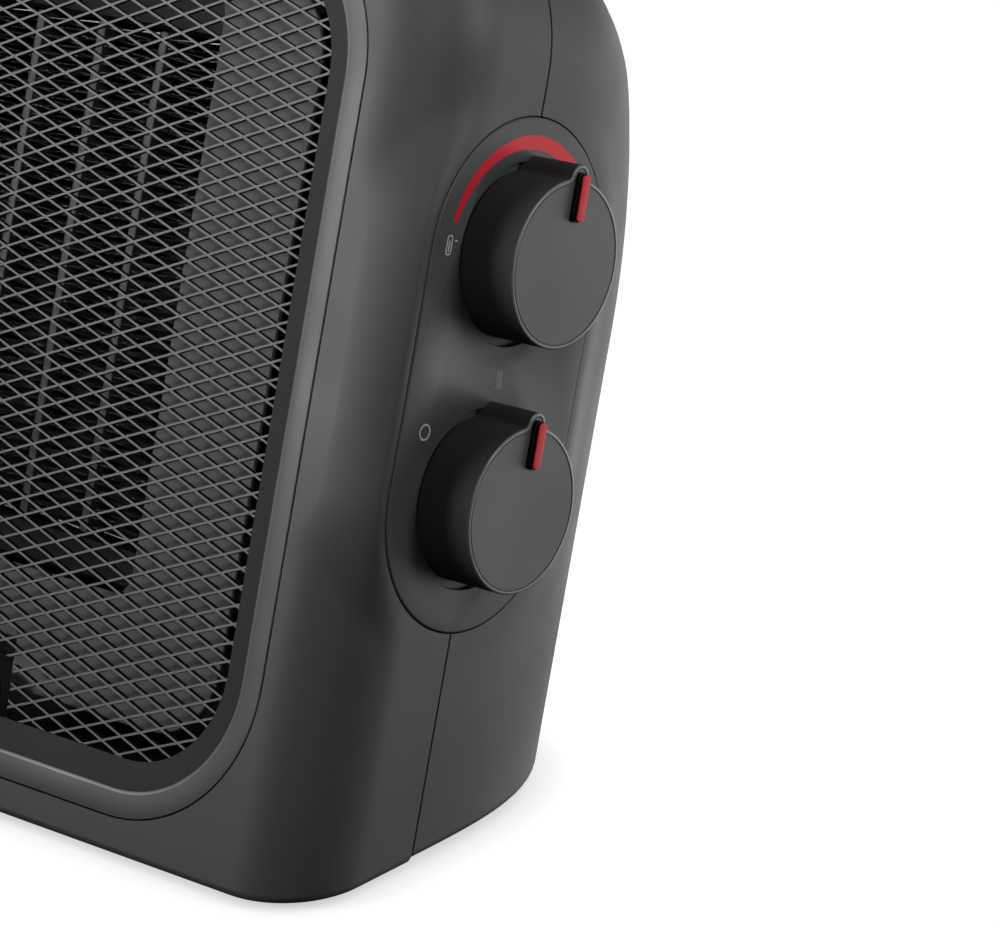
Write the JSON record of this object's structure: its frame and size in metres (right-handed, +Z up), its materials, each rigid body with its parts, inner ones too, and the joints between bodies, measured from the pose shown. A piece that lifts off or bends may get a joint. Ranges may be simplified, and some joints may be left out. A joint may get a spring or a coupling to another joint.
{
  "type": "ceramic space heater",
  "caption": "Compact fan heater leaning back on its base, with a mesh front, a finned ceramic element, an axial fan and side knobs with red pointers.",
  "frame": {"origin": "middle of the whole heater's bounding box, on the plane the feet stand on", "axes": "+X towards the side with the knobs; -Y the way the hot air leaves; +Z up"},
  "size_m": [0.265, 0.1568, 0.2216],
  "materials": {
    "shell_plastic": "fine-grained satin charcoal",
    "bezel_plastic": "smooth satin charcoal",
    "knob_plastic": "smooth satin, near black",
    "mesh_steel": "expanded sheet, worn edges bright",
    "baffle_steel": "dull grey",
    "signal_red": "satin red",
    "heatproof_black": "dull black",
    "fin_aluminium": "plain",
    "foot_rubber": "matte black",
    "zinc_steel": "zinc plated",
    "ceramic_white": "off-white ceramic"
  },
  "bodies": {
    "casing": {"badge_plate": "bezel_plastic", "baffle_plate": "baffle_steel", "base_plate": "shell_plastic", "base_screw_front_left": "zinc_steel", "base_screw_front_right": "zinc_steel", "base_screw_rear_left": "zinc_steel", "base_screw_rear_right": "zinc_steel", "ceramic_bar_1": "fin_aluminium", "ceramic_bar_2": "fin_aluminium", "ceramic_bar_3": "fin_aluminium", "ceramic_bar_4": "fin_aluminium", "ceramic_bar_5": "fin_aluminium", "ceramic_bar_6": "fin_aluminium", "control_panel": "shell_plastic", "cord_gland": "heatproof_black", "dust_filter": "heatproof_black", "element_holder_lower": "heatproof_black", "element_holder_upper": "heatproof_black", "fan_motor": "zinc_steel", "fan_shroud": "heatproof_black", "fin_bank_1": "fin_aluminium", "fin_bank_2": "fin_aluminium", "fin_bank_3": "fin_aluminium", "fin_bank_4": "fin_aluminium", "fin_bank_5": "fin_aluminium", "foot_front_left": "foot_rubber", "foot_front_right": "foot_rubber", "foot_rear_left": "foot_rubber", "foot_rear_right": "foot_rubber", "front_mesh": "mesh_steel", "front_shell": "shell_plastic", "grille_bezel": "bezel_plastic", "grip_cup": "shell_plastic", "mode_switch_body": "heatproof_black", "motor_bracket": "zinc_steel", "rear_grille": "shell_plastic", "rear_shell": "shell_plastic", "terminal_block": "ceramic_white", "thermal_cutout": "zinc_steel", "thermal_fuse": "ceramic_white", "thermostat_switch_body": "heatproof_black", "tilt_switch": "heatproof_black"},
    "thermostat_control": {"thermostat_knob": "knob_plastic", "thermostat_pointer": "signal_red", "thermostat_spindle": "zinc_steel"},
    "mode_control": {"mode_knob": "knob_plastic", "mode_pointer": "signal_red", "mode_spindle": "zinc_steel"},
    "fan": {"fan_impeller": "heatproof_black", "motor_shaft": "zinc_steel"}
  },
  "joints": [
    {"name": "thermostat_turn", "type": "hinge", "parent": "casing", "child": "thermostat_control", "pos_m": [0.11562, -0.00262, 0.13622], "axis": [-1, 0, 0], "range_deg": [-90, 90]},
    {"name": "mode_turn", "type": "hinge", "parent": "casing", "child": "mode_control", "pos_m": [0.11562, -0.01792, 0.08287], "axis": [-1, 0, 0], "range_deg": [-60, 120]},
    {"name": "fan_spin", "type": "hinge", "parent": "casing", "child": "fan", "pos_m": [-0.00748, 0.02374, 0.10333], "axis": [0, 0.9613, -0.2756], "continuous": true}
  ]
}
